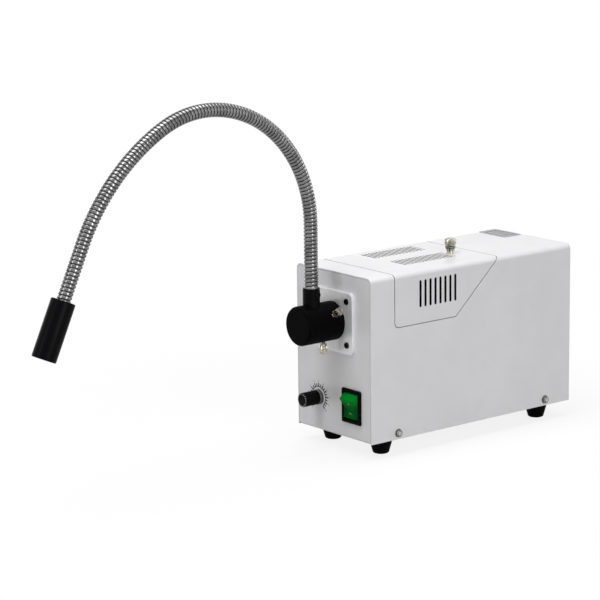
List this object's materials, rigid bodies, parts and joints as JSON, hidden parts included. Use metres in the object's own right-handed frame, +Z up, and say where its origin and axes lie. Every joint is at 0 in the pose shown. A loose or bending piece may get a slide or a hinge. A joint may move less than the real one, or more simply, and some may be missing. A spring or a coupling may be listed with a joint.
{
  "type": "fiber optic illuminator",
  "caption": "Boxed halogen light source with a lift-off lamp hood, a brightness knob and rocker, and a gooseneck light guide in a keyed socket.",
  "frame": {"origin": "centre of the chassis floor's underside; the rubber feet reach 15 mm below it", "axes": "+X to the right seen from the front, +Y to the back, +Z up"},
  "size_m": [0.1096, 0.574, 0.3323],
  "materials": {
    "housing_enamel": "smooth off-white enamel",
    "chassis_enamel": "smooth off-white enamel",
    "plated_steel": "zinc plated",
    "nickel": "nickel plated",
    "stainless": "polished interlocked strip",
    "black_screw": "black oxide",
    "black_aluminium": "satin black anodised",
    "clear_aluminium": "satin clear anodised",
    "foot_rubber": "moulded, matte",
    "black_plastic": "fine moulded texture",
    "knob_plastic": "matte black",
    "cap_plastic": "light grey",
    "green_lens": "translucent green",
    "fan_plastic": "glass-filled, matte",
    "inlet_plastic": "matte black",
    "brass": "bare",
    "circuit_board": "solder mask",
    "component_plastic": "moulded cases",
    "core_steel": "varnished laminations",
    "winding": "enamelled wire under tape",
    "dichroic_glass": "coated",
    "clear_glass": "polished",
    "fibre_glass": "ground ends",
    "ceramic": "unglazed"
  },
  "bodies": {
    "housing": {"chassis": "chassis_enamel", "cover_shell": "housing_enamel", "cover_screws": "nickel", "rubber_feet": "foot_rubber", "foot_screws": "plated_steel", "adapter_plate": "clear_aluminium", "adapter_screws": "black_screw", "guide_socket": "black_aluminium", "socket_nut": "clear_aluminium", "switch_body": "black_plastic", "switch_terminals": "brass", "pot_body": "plated_steel", "pot_nut": "nickel", "hood_bridge": "plated_steel", "bridge_insert": "brass", "lamp_bracket": "plated_steel", "bracket_screws": "plated_steel", "lamp_reflector": "dichroic_glass", "lamp_capsule": "clear_glass", "lamp_holder": "ceramic", "heat_filter": "clear_glass", "filter_holder": "plated_steel", "dimmer_board": "circuit_board", "board_standoffs": "brass", "board_parts": "component_plastic", "board_heatsink": "black_aluminium", "transformer_core": "core_steel", "transformer_coil": "winding", "transformer_strap": "plated_steel", "transformer_screws": "plated_steel", "fan_frame": "fan_plastic", "fan_screws": "plated_steel", "mains_inlet": "inlet_plastic", "inlet_pins": "nickel", "inlet_screws": "plated_steel"},
    "hood": {"lamp_hood": "housing_enamel", "hood_ferrule": "nickel"},
    "hood_screw": {"hood_thumbscrew": "nickel"},
    "knob": {"brightness_knob": "knob_plastic", "knob_cap": "cap_plastic", "pot_shaft": "clear_aluminium"},
    "rocker": {"power_rocker": "green_lens"},
    "fan": {"fan_rotor": "fan_plastic"},
    "fuse": {"fuse_drawer": "inlet_plastic", "fuse_link": "ceramic"},
    "screw_right": {"socket_screw_right": "nickel"},
    "screw_left": {"socket_screw_left": "nickel"},
    "screw_under": {"socket_screw_under": "nickel"},
    "plug": {"guide_plug": "clear_aluminium"},
    "head": {"guide_head": "black_aluminium", "gooseneck_collar": "black_aluminium", "collar_screw": "black_screw", "bundle_bend": "fibre_glass"},
    "gooseneck": {"hose_sleeve": "clear_aluminium", "gooseneck_hose": "stainless", "fibre_bundle": "fibre_glass", "nozzle": "black_aluminium", "nozzle_ferrule": "clear_aluminium"}
  },
  "joints": [
    {"name": "hood_lift", "type": "slide", "parent": "housing", "child": "hood", "axis": [0, 0, 1], "range_m": [0, 0.06]},
    {"name": "hood_screw_turn", "type": "hinge", "parent": "hood", "child": "hood_screw", "pos_m": [0.0092, 0.01, 0.165], "axis": [0, 0, 1], "continuous": true},
    {"name": "knob_turn", "type": "hinge", "parent": "housing", "child": "knob", "pos_m": [-0.022, -0.133, 0.031], "axis": [0, -1, 0], "range_deg": [-140, 140]},
    {"name": "rocker_tip", "type": "hinge", "parent": "housing", "child": "rocker", "pos_m": [0.0256, -0.121, 0.031], "axis": [-1, 0, 0], "range_deg": [0, 32]},
    {"name": "fan_spin", "type": "hinge", "parent": "housing", "child": "fan", "pos_m": [0, 0.107, 0.098], "axis": [0, 1, 0], "continuous": true},
    {"name": "fuse_pull", "type": "slide", "parent": "housing", "child": "fuse", "axis": [0, 1, 0], "range_m": [0, 0.018]},
    {"name": "screw_right_turn", "type": "hinge", "parent": "housing", "child": "screw_right", "pos_m": [0.002, -0.1377, 0.1073], "axis": [0.866, 0, 0.5], "continuous": true},
    {"name": "screw_left_turn", "type": "hinge", "parent": "housing", "child": "screw_left", "pos_m": [0.002, -0.1377, 0.1073], "axis": [-0.866, 0, 0.5], "continuous": true},
    {"name": "screw_under_turn", "type": "hinge", "parent": "housing", "child": "screw_under", "pos_m": [0.002, -0.1377, 0.1073], "axis": [0, 0, -1], "continuous": true},
    {"name": "guide_pull", "type": "slide", "parent": "housing", "child": "plug", "axis": [0, -1, 0], "range_m": [0, 0.045]},
    {"name": "head_turn", "type": "hinge", "parent": "plug", "child": "head", "pos_m": [0.002, -0.151, 0.1073], "axis": [0, -1, 0], "range_deg": [-90, 90]},
    {"name": "gooseneck_swing", "type": "hinge", "parent": "head", "child": "gooseneck", "pos_m": [0.002, -0.151, 0.1073], "axis": [0, 0, 1], "range_deg": [-120, 120]}
  ]
}
